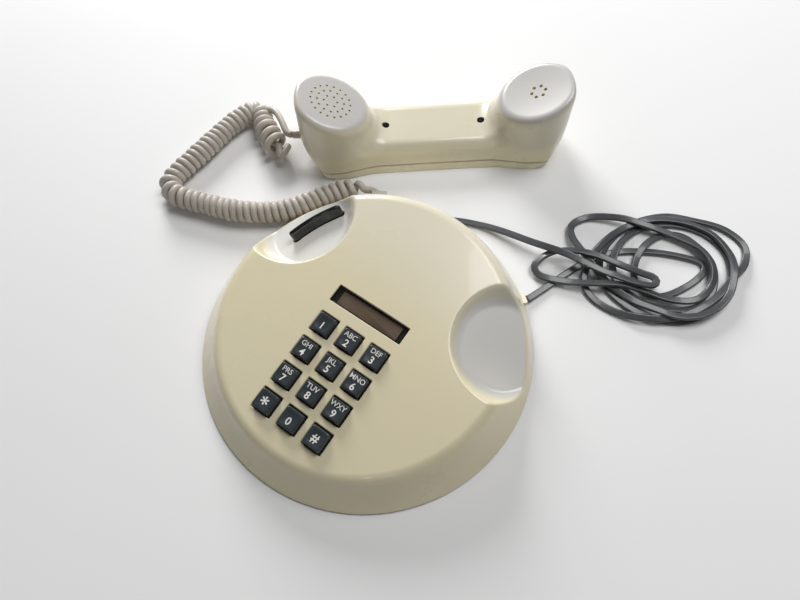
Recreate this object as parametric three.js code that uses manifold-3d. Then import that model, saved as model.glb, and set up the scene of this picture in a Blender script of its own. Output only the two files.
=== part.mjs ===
// Low round push-button desk telephone with its handset lying behind it.
// Millimetres, +Z up. The base is drawn about its own centre, with +Y towards its rear, and the
// whole set is shifted at the end so that the origin lies under the middle of base and handset.

import * as THREE from 'three';
import { mergeVertices } from 'three/addons/utils/BufferGeometryUtils.js';
import Module from 'manifold-3d';

const wasm = await Module();
wasm.setup();

// ---------------------------------------------------------------- driving dimensions

const GAP = 0.3;                 // clearance between touching pieces
const WALL = 2.5;                // moulded wall thickness

// base housing
const BASE_RADIUS = 110.5;       // where the side wall would meet the table
const FACE_HEIGHT = 32.8;        // height of the sloping face at the centre
const FACE_TILT = THREE.MathUtils.degToRad(6.5);
const RIM_RADIUS = 96.5;         // widest part of the rounded rim
const RIM_ROUND = 9;             // radius of the rounded rim
const RIM_SHIFT = 3.5;           // the rim sits this far in front of the foot of the wall
const DOME = 2.2;                // crown of the face
const SHELL_FLOOR = 1.5;         // lower edge of the housing above the table
const PLATE_BOTTOM = 2.5;
const PLATE_TOP = 5;
const PLATE_RADIUS = 102.8;

// cradle bays for the two handset cups
const BAY_RIM = { x: 84.6, y: 38.4, radius: 38.2 };
const BAY_FLOOR = { x: 81.9, y: 37, radius: 29.7, depth: 18, at: 75.4 };
const BAY_TILT = THREE.MathUtils.degToRad(17);

// keypad
const KEY_PITCH = 19.05;
const KEYPAD_Y = -45.2;
const KEY_SIZE = 12.7;
const KEY_HOLE = 14.3;
const KEY_FLANGE = 15.4;
const KEY_TOP = 5.4;
const KEY_TRAVEL = 3;
const FLANGE_TOP = -3.5;
const FLANGE_THICK = 1.3;
const STEM = 6;
const FRAME_TOP = FLANGE_TOP - FLANGE_THICK - KEY_TRAVEL - GAP;
const FRAME_THICK = 3;

// name card window
const WINDOW = { width: 53.4, height: 11.9, y: 4.55 };

// hook bar in the left bay, on arcs about the middle of the base
const HOOK = { inner: 84, outer: 88, from: 138.5, to: 162.5, proud: 9, below: 6.4 };

// handset
const HANDSET = { x: -60, y: 166.8, yaw: THREE.MathUtils.degToRad(38.7) };
const CUP_OFFSET = 75.4;
const CUP_HEIGHT = 48;
const CUP_TILT = THREE.MathUtils.degToRad(21);
const CUP_RADIUS = 29;
const HANDSET_HALF = 104.5;
const PARTING = 6;

// cords
const COIL_WIRE = 4.9;           // coiled handset cord, its wire
const COIL_OUTER = 17;           // and the outside of its helix
const LINE_WIDTH = 5;            // flat line cord
const LINE_THICK = 2.6;

// finishes
const IVORY = { color: 0xcdc4a5, roughness: 0.28, metalness: 0 };
const IVORY_DARK = { color: 0xb4aa87, roughness: 0.32, metalness: 0 };
const BLACK_GLOSS = { color: 0x14161a, roughness: 0.18, metalness: 0 };
const SLATE = { color: 0x23282e, roughness: 0.35, metalness: 0 };
const RUBBER = { color: 0x1b1b1b, roughness: 0.85, metalness: 0 };
const STEEL = { color: 0xa8aaad, roughness: 0.35, metalness: 1 };
const BRASS = { color: 0xb89a55, roughness: 0.3, metalness: 1 };
const COPPER = { color: 0x9a5a33, roughness: 0.4, metalness: 0.8 };
const BOARD = { color: 0x7a5a33, roughness: 0.6, metalness: 0 };
const CARD = { color: 0x6e5c48, roughness: 0.7, metalness: 0 };
const CLEAR = { color: 0x8a8478, roughness: 0.08, metalness: 0 };
const BEIGE_CORD = { color: 0xc8bcaf, roughness: 0.5, metalness: 0 };
const GREY_CORD = { color: 0x55585a, roughness: 0.4, metalness: 0 };

// ---------------------------------------------------------------- helpers

// Keeps only positions, welds them and drops triangles that have no area.
function weld(geometry) {
  const source = geometry.clone();
  source.deleteAttribute('normal');
  source.deleteAttribute('uv');
  const merged = mergeVertices(source, 1e-4);
  const index = merged.index.array;
  const kept = [];
  for (let i = 0; i < index.length; i += 3) {
    const [a, b, c] = [index[i], index[i + 1], index[i + 2]];
    if (a !== b && b !== c && c !== a) kept.push(a, b, c);
  }
  merged.setIndex(kept);
  return merged;
}

// Six times the signed volume: negative when the faces point inwards.
function signedVolume(geometry) {
  const position = geometry.attributes.position;
  const index = geometry.index.array;
  const [a, b, c] = [new THREE.Vector3(), new THREE.Vector3(), new THREE.Vector3()];
  let sum = 0;
  for (let i = 0; i < index.length; i += 3) {
    a.fromBufferAttribute(position, index[i]);
    b.fromBufferAttribute(position, index[i + 1]);
    c.fromBufferAttribute(position, index[i + 2]);
    sum += a.dot(b.cross(c));
  }
  return sum;
}

function faceOut(geometry) {
  const welded = weld(geometry);
  if (signedVolume(welded) < 0) {
    const index = welded.index.array;
    for (let i = 0; i < index.length; i += 3) {
      [index[i], index[i + 1]] = [index[i + 1], index[i]];
    }
  }
  return welded;
}

function solid(geometry) {
  const closed = faceOut(geometry);
  return new wasm.Manifold(new wasm.Mesh({
    numProp: 3,
    vertProperties: new Float32Array(closed.attributes.position.array),
    triVerts: new Uint32Array(closed.index.array),
  }));
}

function fromSolid(manifold) {
  const mesh = manifold.getMesh();
  const geometry = new THREE.BufferGeometry();
  geometry.setAttribute('position', new THREE.BufferAttribute(mesh.vertProperties, 3));
  geometry.setIndex(new THREE.BufferAttribute(mesh.triVerts, 1));
  return geometry;
}

function cut(body, ...tools) {
  return tools.reduce((result, tool) => result.subtract(solid(tool)), body);
}

function join(body, ...others) {
  return others.reduce((result, other) => result.add(solid(other)), body);
}

function box(width, depth, height, x = 0, y = 0, z = 0) {
  return new THREE.BoxGeometry(width, depth, height).translate(x, y, z);
}

// A cylinder or cone along Z, from z0 up to z1.
function rod(radius, z0, z1, x = 0, y = 0, segments = 16, topRadius = radius) {
  const height = z1 - z0;
  const shape = new THREE.CylinderGeometry(topRadius, radius, height, segments);
  return shape.rotateX(Math.PI / 2).translate(x, y, z0 + height / 2);
}

function spin(profile, segments) {
  const points = profile.map(([radius, z]) => new THREE.Vector2(radius, z));
  return new THREE.LatheGeometry(points, segments).rotateX(Math.PI / 2);
}

function arcPoints(x, y, radius, fromDegrees, toDegrees, count) {
  const points = [];
  for (let i = 0; i <= count; i += 1) {
    const angle = THREE.MathUtils.degToRad(fromDegrees + (toDegrees - fromDegrees) * i / count);
    points.push([x + radius * Math.cos(angle), y + radius * Math.sin(angle)]);
  }
  return points;
}

function slab(outline, z0, z1) {
  const shape = new THREE.Shape(outline.map(([x, y]) => new THREE.Vector2(x, y)));
  const settings = { depth: z1 - z0, bevelEnabled: false, curveSegments: 8 };
  return new THREE.ExtrudeGeometry(shape, settings).translate(0, 0, z0);
}

function roundedOutline(width, depth, radius, count = 3) {
  const [x, y] = [width / 2 - radius, depth / 2 - radius];
  return [
    ...arcPoints(x, y, radius, 0, 90, count),
    ...arcPoints(-x, y, radius, 90, 180, count),
    ...arcPoints(-x, -y, radius, 180, 270, count),
    ...arcPoints(x, -y, radius, 270, 360, count),
  ];
}

// A tube of a closed section along a route of points.
function tube(route, section, steps) {
  const curve = new THREE.CatmullRomCurve3(route.map((point) => new THREE.Vector3(...point)));
  const shape = new THREE.Shape(section.map(([x, y]) => new THREE.Vector2(x, y)));
  return new THREE.ExtrudeGeometry(shape, { steps, extrudePath: curve, bevelEnabled: false });
}

function ringSection(radius, sides) {
  return arcPoints(0, 0, radius, 0, 360 - 360 / sides, sides - 1);
}

function polar(radius, degrees, z = 0) {
  const angle = THREE.MathUtils.degToRad(degrees);
  return [radius * Math.cos(angle), radius * Math.sin(angle), z];
}

const telephone = new THREE.Group();
const base = new THREE.Group();
const handset = new THREE.Group();
const face = new THREE.Group();       // the sloping face: z is the height over its plane
telephone.add(base, handset);
base.add(face);
face.position.z = FACE_HEIGHT;
face.rotation.x = FACE_TILT;

function piece(parent, name, geometry, finish) {
  const shape = geometry.isBufferGeometry ? faceOut(geometry) : fromSolid(geometry);
  const mesh = new THREE.Mesh(shape, new THREE.MeshStandardMaterial(finish));
  mesh.name = name;
  parent.add(mesh);
  return mesh;
}

// Moves a shape drawn in the face's own frame into the base's frame.
function onFace(geometry) {
  return geometry.rotateX(FACE_TILT).translate(0, 0, FACE_HEIGHT);
}

// ---------------------------------------------------------------- base housing

const roundCentre = [RIM_RADIUS - RIM_ROUND, FACE_HEIGHT - RIM_ROUND];
const toCentre = Math.hypot(BASE_RADIUS - roundCentre[0], roundCentre[1]);
const wallTurn = Math.asin(RIM_ROUND / toCentre);
const wallLean = Math.PI - Math.atan2(roundCentre[1], BASE_RADIUS - roundCentre[0]) - wallTurn;
const tangentDegrees = THREE.MathUtils.radToDeg(wallLean) - 90;
const tangentHeight = roundCentre[1] + RIM_ROUND * Math.sin(wallLean - Math.PI / 2);

function wallRadius(z) {
  return BASE_RADIUS + z / Math.tan(wallLean);
}

// Leans everything above the wall back with the face and shifts it forwards; the wall follows
// in proportion to its height.
function leanBack(geometry) {
  const position = geometry.attributes.position;
  for (let i = 0; i < position.count; i += 1) {
    const [y, z] = [position.getY(i), position.getZ(i)];
    const share = THREE.MathUtils.clamp((z - SHELL_FLOOR) / (tangentHeight - SHELL_FLOOR), 0, 1);
    const over = z - FACE_HEIGHT;
    const leanedY = y * Math.cos(FACE_TILT) - over * Math.sin(FACE_TILT);
    const leanedZ = FACE_HEIGHT + y * Math.sin(FACE_TILT) + over * Math.cos(FACE_TILT);
    position.setY(i, THREE.MathUtils.lerp(y, leanedY - RIM_SHIFT, share));
    position.setZ(i, THREE.MathUtils.lerp(z, leanedZ, share));
  }
  return geometry;
}

const HOUSING_SEGMENTS = 72;
const outerProfile = [
  [0, SHELL_FLOOR],
  [wallRadius(SHELL_FLOOR), SHELL_FLOOR],
  ...arcPoints(...roundCentre, RIM_ROUND, tangentDegrees, 90, 5),
  [RIM_RADIUS * 0.5, FACE_HEIGHT + DOME * 0.75],
  [0, FACE_HEIGHT + DOME],
];
const innerRound = RIM_ROUND - WALL;
const wallInset = WALL / Math.sin(wallLean);
const innerProfile = [
  [0, -3],
  [wallRadius(-3) - wallInset, -3],
  ...arcPoints(...roundCentre, innerRound, tangentDegrees, 90, 4),
  [0, roundCentre[1] + innerRound],
];

// The scoop that a handset cup drops into; grow makes the outside of its wall.
function bayScoop(side, grow) {
  const [above, below] = [8, 34];
  const perDepth = (BAY_RIM.radius - BAY_FLOOR.radius) / BAY_FLOOR.depth;
  const leanX = (BAY_RIM.x - BAY_FLOOR.x) / BAY_FLOOR.depth;
  const leanY = (BAY_RIM.y - BAY_FLOOR.y) / BAY_FLOOR.depth;
  const [top, bottom] = [BAY_RIM.radius + perDepth * above, BAY_RIM.radius - perDepth * below];
  const cone = rod(bottom + grow, -below, above, 0, 0, 48, top + grow);
  const lean = new THREE.Matrix4().makeShear(0, 0, 0, 0, leanX * side, leanY);
  cone.applyMatrix4(lean).translate(BAY_RIM.x * side, BAY_RIM.y, 0);
  const underFloor = bayFrame(side, box(260, 260, 60, 0, 0, -30 - grow));
  return cut(solid(onFace(cone)), underFloor);
}

// Moves a shape drawn on a bay's floor, z along the floor's normal, into the base's frame.
function bayFrame(side, geometry) {
  geometry.rotateY(BAY_TILT * side);
  geometry.translate(BAY_FLOOR.at * side, BAY_RIM.y, -BAY_FLOOR.depth);
  return onFace(geometry);
}

function hookShape(grow, z0, z1) {
  const centre = [BAY_FLOOR.at, -BAY_RIM.y];
  const spread = THREE.MathUtils.radToDeg(grow / HOOK.inner);
  const outline = [
    ...arcPoints(...centre, HOOK.outer + grow, HOOK.from - spread, HOOK.to + spread, 8),
    ...arcPoints(...centre, HOOK.inner - grow, HOOK.to + spread, HOOK.from - spread, 8),
  ];
  return bayFrame(-1, slab(outline, z0, z1));
}

const keys = [];
const legends = ['1', '2', '3', '4', '5', '6', '7', '8', '9', 'star', '0', 'hash'];
legends.forEach((legend, i) => {
  const column = i % 3 - 1;
  const row = 1.5 - Math.floor(i / 3);
  keys.push({ name: `key_${legend}`, x: column * KEY_PITCH, y: KEYPAD_Y + row * KEY_PITCH });
});

const GLAND = {
  line: { azimuth: 50.3, width: 7.6, height: 4.6, reach: 110.8 },
  coil: { azimuth: 122, width: 11, height: 10, reach: 114.5 },
};

function glandBlock(gland, grow, inside) {
  const length = gland.reach - inside;
  const block = box(length, gland.width + 2 * grow, gland.height + grow, inside + length / 2);
  block.translate(0, 0, SHELL_FLOOR - GAP + (gland.height + grow) / 2);
  return block.rotateZ(THREE.MathUtils.degToRad(gland.azimuth));
}

// A slanted notch low in the rear wall, where the plug of the line cord is parked.
const NOTCH = { x: -15.4, y: 104.5, turn: THREE.MathUtils.degToRad(221.35), width: 12, height: 8.2 };

function notchBlock(length, inside) {
  const block = box(length, NOTCH.width, 2 * NOTCH.height, inside - length / 2, 0, 0);
  return block.rotateZ(NOTCH.turn).translate(NOTCH.x, NOTCH.y, 0);
}

const BOSSES = [90, 232, 308].map((azimuth) => polar(86, azimuth));
const FEET = [
  ['foot_rear_right', 38], ['foot_rear_left', 142], ['foot_front_left', 218], ['foot_front_right', 322],
];

let cavity = solid(leanBack(spin(innerProfile, HOUSING_SEGMENTS)));
cavity = cavity.subtract(bayScoop(-1, WALL)).subtract(bayScoop(1, WALL));
for (const [x, y] of BOSSES) cavity = cut(cavity, rod(4, PLATE_TOP + GAP, 60, x, y, 12));

let housing = solid(leanBack(spin(outerProfile, HOUSING_SEGMENTS)));
housing = housing.subtract(bayScoop(-1, 0)).subtract(bayScoop(1, 0)).subtract(cavity);
housing = cut(housing, ...keys.map((key) => onFace(box(KEY_HOLE, KEY_HOLE, 30, key.x, key.y, 0))));
housing = cut(housing, onFace(box(WINDOW.width, WINDOW.height, 20, 0, WINDOW.y, 0)));
housing = cut(housing, hookShape(0.6, -12, 12));
housing = cut(housing, ...BOSSES.map(([x, y]) => rod(1.5, 0, 16, x, y, 8)));
for (const gland of [GLAND.line, GLAND.coil]) {
  housing = cut(housing, glandBlock(gland, GAP, 90), glandBlock(gland, GAP, 90).translate(0, 0, -3));
}
housing = cut(housing, notchBlock(34, 16));
piece(base, 'upper_shell', housing, IVORY);

let plate = solid(rod(PLATE_RADIUS, PLATE_BOTTOM, PLATE_TOP, 0, 0, 48));
plate = cut(plate, ...BOSSES.map(([x, y]) => rod(1.7, 0, 2 * PLATE_TOP, x, y, 8)));
plate = cut(plate, glandBlock(GLAND.line, GAP, 96), glandBlock(GLAND.coil, GAP, 96), notchBlock(34, 16));
piece(base, 'base_plate', plate, RUBBER);

for (const [name, azimuth] of FEET) {
  const [x, y] = polar(88, azimuth);
  piece(base, name, rod(8, 0, PLATE_BOTTOM - GAP, x, y, 20, 7.4), RUBBER);
}

BOSSES.forEach(([x, y], i) => {
  const head = solid(rod(3.4, 0.9, PLATE_BOTTOM - GAP, x, y, 12));
  piece(base, `base_screw_${i + 1}`, join(head, rod(1.2, 1.5, 14, x, y, 8)), STEEL);
});

// ---------------------------------------------------------------- keypad

const frameOutline = [
  [-33, -3.4], [-33, -70], [-24, -82.5], [24, -82.5], [33, -70], [33, -3.4],
];
const framePlate = solid(slab(frameOutline, FRAME_TOP - FRAME_THICK, FRAME_TOP));
const stemHoles = keys.map((key) => box(STEM + 0.8, STEM + 0.8, 40, key.x, key.y, 0));
piece(face, 'keypad_frame', cut(framePlate, ...stemHoles), BLACK_GLOSS);

const STEM_END = FRAME_TOP - 2.6;
const BOARD_TOP = FRAME_TOP - FRAME_THICK - KEY_TRAVEL - 0.4;
const BOARD_THICK = 1.6;
const boardOutline = [[-30, -6], [-30, -70], [-22, -80], [22, -80], [30, -70], [30, -6]];
piece(face, 'keypad_board', slab(boardOutline, BOARD_TOP - BOARD_THICK, BOARD_TOP), BOARD);

for (const key of keys) {
  const flangeBottom = FLANGE_TOP - FLANGE_THICK;
  let cap = solid(slab(roundedOutline(KEY_SIZE, KEY_SIZE, 1.2), flangeBottom + 0.2, KEY_TOP));
  cap = join(cap, box(KEY_FLANGE, KEY_FLANGE, FLANGE_THICK, 0, 0, flangeBottom + FLANGE_THICK / 2));
  cap = join(cap, box(STEM, STEM, flangeBottom - STEM_END + 0.4, 0, 0, (flangeBottom + STEM_END) / 2));
  const mesh = piece(face, key.name, cap, SLATE);
  mesh.position.set(key.x, key.y, 0);
}

// ---------------------------------------------------------------- name card window

piece(face, 'card_tray', box(58, 15.6, 1.5, 0, WINDOW.y, -3.6), BLACK_GLOSS);
piece(face, 'name_card', box(45, 9.6, 0.4, 0, WINDOW.y, -0.6), CARD);
const lensPlate = box(WINDOW.width - 2 * GAP, WINDOW.height - 2 * GAP, 1.3, 0, WINDOW.y, 1);
piece(face, 'window_lens', lensPlate, CLEAR);

// ---------------------------------------------------------------- hook switch

piece(base, 'hook_bar', hookShape(0, -HOOK.below, HOOK.proud), BLACK_GLOSS);

const LEVER = { x: -46, y: 51, z: 14, reach: 27, width: 7, thick: 2.5, tube: 3.6, bore: 1.8, pin: 1.5 };
const leverTurn = Math.PI - 0.26;

// A cylinder along the lever's hinge, as long on each side of the arm as half says.
function hingeRod(radius, half, segments) {
  return rod(radius, -half, half, 0, 0, segments).rotateX(Math.PI / 2);
}

const lever = new THREE.Group();
lever.position.set(LEVER.x, LEVER.y, LEVER.z);
lever.rotation.z = leverTurn;
base.add(lever);
const arm = solid(box(LEVER.reach + 4, LEVER.width, LEVER.thick, LEVER.reach / 2, 0, GAP));
const hub = join(arm, hingeRod(LEVER.tube, LEVER.width / 2, 16));
piece(lever, 'hook_lever', cut(hub, hingeRod(LEVER.bore, LEVER.width, 12)), BLACK_GLOSS);
piece(lever, 'hook_pivot_pin', hingeRod(LEVER.pin, 10.1, 12), STEEL);
const springRing = spin([[3, -1.6], [4.4, -1.6], [4.4, 1.6], [3, 1.6], [3, -1.6]], 16);
piece(lever, 'hook_spring', springRing.rotateX(Math.PI / 2).translate(0, 6.2, 0), STEEL);

const bracketFoot = solid(box(14, 24, 2, 0, 0, -7.4));
const bracketCheeks = [-1, 1].map((side) => box(8, 1.6, 12, -3, 11.2 * side, -2.6));
piece(lever, 'hook_bracket', join(bracketFoot, ...bracketCheeks), STEEL);
piece(lever, 'hook_switch', box(11, 14, 9, -18, -15, -3.5), BOARD);

// ---------------------------------------------------------------- bell

const BELL = { x: 12, y: 50, radius: 27, top: 27, thick: 1.4 };
const gongBore = 1.6;
const gongProfile = [
  [gongBore, BELL.top], [10, BELL.top], [20, 25], [BELL.radius - BELL.thick, 19.5], [BELL.radius, 14],
  [BELL.radius - BELL.thick + 0.1, 14], [BELL.radius - 2 * BELL.thick, 18.8], [19.5, 23.6],
  [10, BELL.top - BELL.thick], [gongBore, BELL.top - BELL.thick], [gongBore, BELL.top],
];
piece(base, 'ringer_gong', spin(gongProfile, 32).translate(BELL.x, BELL.y, 0), BRASS);
const postTop = BELL.top - BELL.thick - GAP;
piece(base, 'gong_post', rod(3, PLATE_TOP + GAP, postTop, BELL.x, BELL.y, 12), STEEL);
piece(base, 'gong_screw', rod(3.2, BELL.top + GAP, BELL.top + 2, BELL.x, BELL.y, 12), STEEL);

const winding = solid(rod(7, -11, 11, 0, 0, 20).rotateY(Math.PI / 2));
const cheeks = [-1, 1].map((side) => box(2, 17, 17, 11.5 * side, 0, 0));
piece(base, 'ringer_coil', join(winding, ...cheeks).translate([-26, 16, 14]), COPPER);

const CLAPPER = { x: -26, y: 29, z: 14, thick: 2.4 };
const clapper = new THREE.Group();
clapper.position.set(CLAPPER.x, CLAPPER.y, CLAPPER.z);
base.add(clapper);
let beater = solid(box(3, 17, CLAPPER.thick, 0, 7.5, -1));
beater = join(beater, box(6.5, 2.4, CLAPPER.thick, 3, 16, -1));
beater = join(beater, rod(3, -3, 3, 6.2, 16, 12), rod(3, -3, 3, 0, 0, 12));
piece(clapper, 'bell_clapper', cut(beater, rod(1.3, -10, 10, 0, 0, 8)), STEEL);
piece(clapper, 'clapper_pin', rod(1, PLATE_TOP + GAP - CLAPPER.z, 5, 0, 0, 8), STEEL);

// ---------------------------------------------------------------- circuit

piece(base, 'network_board', box(40, 24, 1.6, 10, 8, 9), BOARD);
piece(base, 'induction_coil', box(15, 15, 11, -2, 8, 15.6), COPPER);
piece(base, 'capacitor', rod(5, -8, 8, 0, 0, 16).rotateX(Math.PI / 2).translate(16, 8, 15.3), BRASS);
piece(base, 'terminal_block', box(9, 20, 8, 58, -20, PLATE_TOP + GAP + 4), BOARD);

// ---------------------------------------------------------------- glands

piece(base, 'line_cord_gland', glandBlock(GLAND.line, 0, 98.5), IVORY_DARK);
piece(base, 'handset_cord_gland', glandBlock(GLAND.coil, 0, 98.5), BEIGE_CORD);

// ---------------------------------------------------------------- handset
// Drawn about its own middle, long axis X, mouthpiece at -X, resting on its back.

handset.position.set(HANDSET.x, HANDSET.y, 0);
handset.rotation.z = HANDSET.yaw;

const BACK_ROUND = 20;
const HANDLE_TOP = 20.6;

// Side view of the whole handset, shrunk inwards by inset.
function handsetSide(inset) {
  const [cosTilt, sinTilt] = [Math.cos(CUP_TILT), Math.sin(CUP_TILT)];
  const low = inset;
  const outerFoot = arcPoints(HANDSET_HALF - BACK_ROUND, BACK_ROUND, BACK_ROUND - inset, -90, 0, 5);
  const faceOuter = [CUP_OFFSET + 26.5 * cosTilt - inset, CUP_HEIGHT + 26.5 * sinTilt - inset];
  const faceInner = [CUP_OFFSET - 27.5 * cosTilt + inset, CUP_HEIGHT - 27.5 * sinTilt - inset];
  const neck = [[44 + inset, 29 - inset], [35, 23.2 - inset], [20, HANDLE_TOP + 0.4 - inset]];
  const right = [[0, low], ...outerFoot, faceOuter, faceInner, ...neck];
  const left = right.slice(1).reverse().map(([x, z]) => [-x, z]);
  return [...right, [0, HANDLE_TOP - inset], ...left];
}

// Plan view: two round ends joined by a narrower grip.
function handsetPlan(inset) {
  const centre = HANDSET_HALF - CUP_RADIUS;
  const right = arcPoints(centre, 0, CUP_RADIUS - inset, -120, 120, 12);
  const grip = [[40, 26.6 - inset], [0, 26 - inset], [-40, 26.6 - inset]];
  const left = right.map(([x, y]) => [-x, -y]);
  return [...right, ...grip, ...left, ...grip.map(([x, y]) => [-x, -y])];
}

function handsetBody(inset) {
  const side = slab(handsetSide(inset), -40, 40).rotateX(Math.PI / 2);
  return solid(side).intersect(solid(slab(handsetPlan(inset), -1, 80)));
}

const abovePart = box(260, 120, 100, 0, 0, PARTING + 50);
const belowPart = box(260, 120, 100, 0, 0, PARTING - GAP - 50);
const SCREW_AT = 36.5;
const screwBosses = [-1, 1].map((side) => rod(4.6, -5, 60, SCREW_AT * side, 0, 12));
const handsetOuter = handsetBody(0);
const handsetHollow = cut(handsetBody(WALL), ...screwBosses);

// Sound holes are drilled square to a cup's face, at these radii and counts.
const MOUTH_RINGS = [[5, 6], [10, 12], [14.8, 18]];
const EAR_RINGS = [[5, 6]];

function onCup(side, geometry) {
  geometry.rotateY(-CUP_TILT * side);
  return geometry.translate(CUP_OFFSET * side, 0, CUP_HEIGHT);
}

function soundHoles(side, rings) {
  const drills = [];
  for (const [radius, count] of rings) {
    for (let i = 0; i < count; i += 1) {
      const [x, y] = polar(radius, 360 * i / count);
      drills.push(onCup(side, rod(0.85, -8, 8, x, y, 6)));
    }
  }
  return drills;
}

let frontShell = handsetOuter.intersect(solid(abovePart)).subtract(handsetHollow);
for (const side of [-1, 1]) {
  const [headBore, shankBore] = [rod(2.9, 12, 40), rod(1.5, 0, 30, 0, 0, 8)];
  headBore.translate(SCREW_AT * side, 0, 0);
  shankBore.translate(SCREW_AT * side, 0, 0);
  frontShell = cut(frontShell, headBore, shankBore);
}
frontShell = cut(frontShell, ...soundHoles(-1, MOUTH_RINGS), ...soundHoles(1, EAR_RINGS));
const cordBore = rod(3.9, -20, 20, 0, 0, 12).rotateY(Math.PI / 2).translate(-HANDSET_HALF, 0, 16);
frontShell = cut(frontShell, cordBore);
piece(handset, 'handset_front_shell', frontShell, IVORY);

let backShell = handsetOuter.intersect(solid(belowPart)).subtract(handsetHollow);
backShell = cut(backShell, rod(1.5, 2, 30, SCREW_AT, 0, 8), rod(1.5, 2, 30, -SCREW_AT, 0, 8));
piece(handset, 'handset_back_shell', backShell, IVORY);

for (const [side, name] of [[-1, 'handset_screw_mouth'], [1, 'handset_screw_ear']]) {
  const head = solid(rod(2.6, 12 + GAP, 16, SCREW_AT * side, 0, 12));
  piece(handset, name, join(head, rod(1.2, 2.6, 13, SCREW_AT * side, 0, 8)), BLACK_GLOSS);
}

piece(handset, 'transmitter_capsule', onCup(-1, rod(19.5, -16, -6, 0, 0, 24)), STEEL);
piece(handset, 'receiver_capsule', onCup(1, rod(17.5, -18, -7, 0, 0, 24)), STEEL);

const HANDSET_EXIT = 108;
const bushing = rod(3.5, 98, HANDSET_EXIT, 0, 0, 12, 3).rotateY(-Math.PI / 2).translate(0, 0, 16);
piece(handset, 'handset_end_gland', bushing, BEIGE_CORD);

// ---------------------------------------------------------------- coiled handset cord

const coilLift = COIL_OUTER / 2 + 0.1;
const coilRoute = [
  [-149, 81], [-160, 87], [-172, 98], [-184, 112], [-193, 112], [-197, 101], [-198.5, 82],
  [-199, 60], [-199, 42], [-200, 24], [-198, 12], [-189, 7.5], [-172, 9.5], [-152, 14], [-134, 21],
  [-120, 31], [-109, 44], [-101, 58], [-93, 70.5],
].map(([x, y]) => [x, y, coilLift]);
piece(telephone, 'handset_cord', tube(coilRoute, ringSection(COIL_OUTER / 2, 12), 34), BEIGE_CORD);

const wireSection = ringSection(COIL_WIRE / 2, 8);
const baseTail = [
  polar(GLAND.coil.reach + 0.5, GLAND.coil.azimuth, 6.2),
  polar(GLAND.coil.reach + 2.8, GLAND.coil.azimuth, 6.2),
  polar(119.6, 126, 6.4),
  polar(119.2, 132, 7.2),
  [-90.6, 74.4, coilLift],
];
piece(telephone, 'handset_cord_base_tail', tube(baseTail, wireSection, 14), BEIGE_CORD);

function handsetPoint(x, y, z) {
  const [c, s] = [Math.cos(HANDSET.yaw), Math.sin(HANDSET.yaw)];
  return [HANDSET.x + x * c - y * s, HANDSET.y + x * s + y * c, z];
}

const handsetTail = [
  handsetPoint(-HANDSET_EXIT - 0.5, 0, 16),
  handsetPoint(-HANDSET_EXIT - 3, 0, 15.8),
  handsetPoint(-HANDSET_EXIT - 6, 0, 15.4),
];
piece(telephone, 'handset_cord_end_tail', tube(handsetTail, wireSection, 3), BEIGE_CORD);

// ---------------------------------------------------------------- flat line cord

const lineLift = LINE_THICK / 2 + 0.1;
const lineSection = roundedOutline(LINE_THICK, LINE_WIDTH, 1.2, 1);

const COIL_RING = { x: 142, y: 167, inner: 21, outer: 43, stretch: 1.35, turn: -0.38, height: 12 };
const ringProfile = [
  [COIL_RING.inner, 0.1], [COIL_RING.outer, 0.1], [COIL_RING.outer, COIL_RING.height],
  [COIL_RING.inner, COIL_RING.height], [COIL_RING.inner, 0.1],
];
const ringShape = spin(ringProfile, 36).scale(1, COIL_RING.stretch, 1).rotateZ(COIL_RING.turn);
piece(telephone, 'line_cord_coil', ringShape.translate(COIL_RING.x, COIL_RING.y, 0), GREY_CORD);

const lineIn = [
  polar(GLAND.line.reach + 0.5, GLAND.line.azimuth, 2.6),
  polar(GLAND.line.reach + 3, GLAND.line.azimuth, 2.2),
  [75.6, 95.5, lineLift + 0.1], [78, 102, lineLift + 0.1], [80.5, 109.6, lineLift + 0.1],
  [82.6, 116, lineLift + 0.5], [84.8, 121.8, 3.6], [87, 128.5, 4.8], [89.3, 134.5, 4.8], [91.8, 142, 4.8],
  [94.5, 147, 4.8],
];
piece(telephone, 'line_cord', tube(lineIn, lineSection, 18), GREY_CORD);

const lineOut = [
  [98, 137.2], [91, 132.4], [82.5, 129], [71, 127.2], [51, 124.6], [29.5, 122.8], [9.5, 118.5],
  [2, 115.5], [-4.5, 112.2],
].map(([x, y]) => [x, y, lineLift]);
lineOut.push([-9.6, 109.2, 2.1], [-12.6, 107, 2.8], [-14.9, 104.95, 3.2]);
piece(telephone, 'line_cord_free_end', tube(lineOut, lineSection, 34), GREY_CORD);

const PLUG = { length: 12.4, width: 9.6, height: 6.4 };
const plug = new THREE.Group();
plug.position.set(NOTCH.x, NOTCH.y, 0);
plug.rotation.z = NOTCH.turn;
telephone.add(plug);
const plugBody = box(PLUG.length, PLUG.width, PLUG.height, PLUG.length / 2 + GAP, 0, PLUG.height / 2 + 0.1);
const plugLatch = box(9, 3.2, 1.2, 5, 0, PLUG.height + 0.6);
piece(plug, 'line_plug', join(solid(plugBody), plugLatch), CLEAR);

// ---------------------------------------------------------------- origin
// Under the middle of the box that holds base and handset, cords left out, on the table.

telephone.updateMatrixWorld(true);
const reach = new THREE.Box3();
for (const group of [base, handset]) reach.expandByObject(group, true);
const middle = reach.getCenter(new THREE.Vector3());
telephone.position.set(-middle.x, -middle.y, -reach.min.z);

export default telephone;
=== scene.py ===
import math

import bmesh
import bpy
import numpy as np
import openvdb
from mathutils import Matrix, Vector


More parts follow.
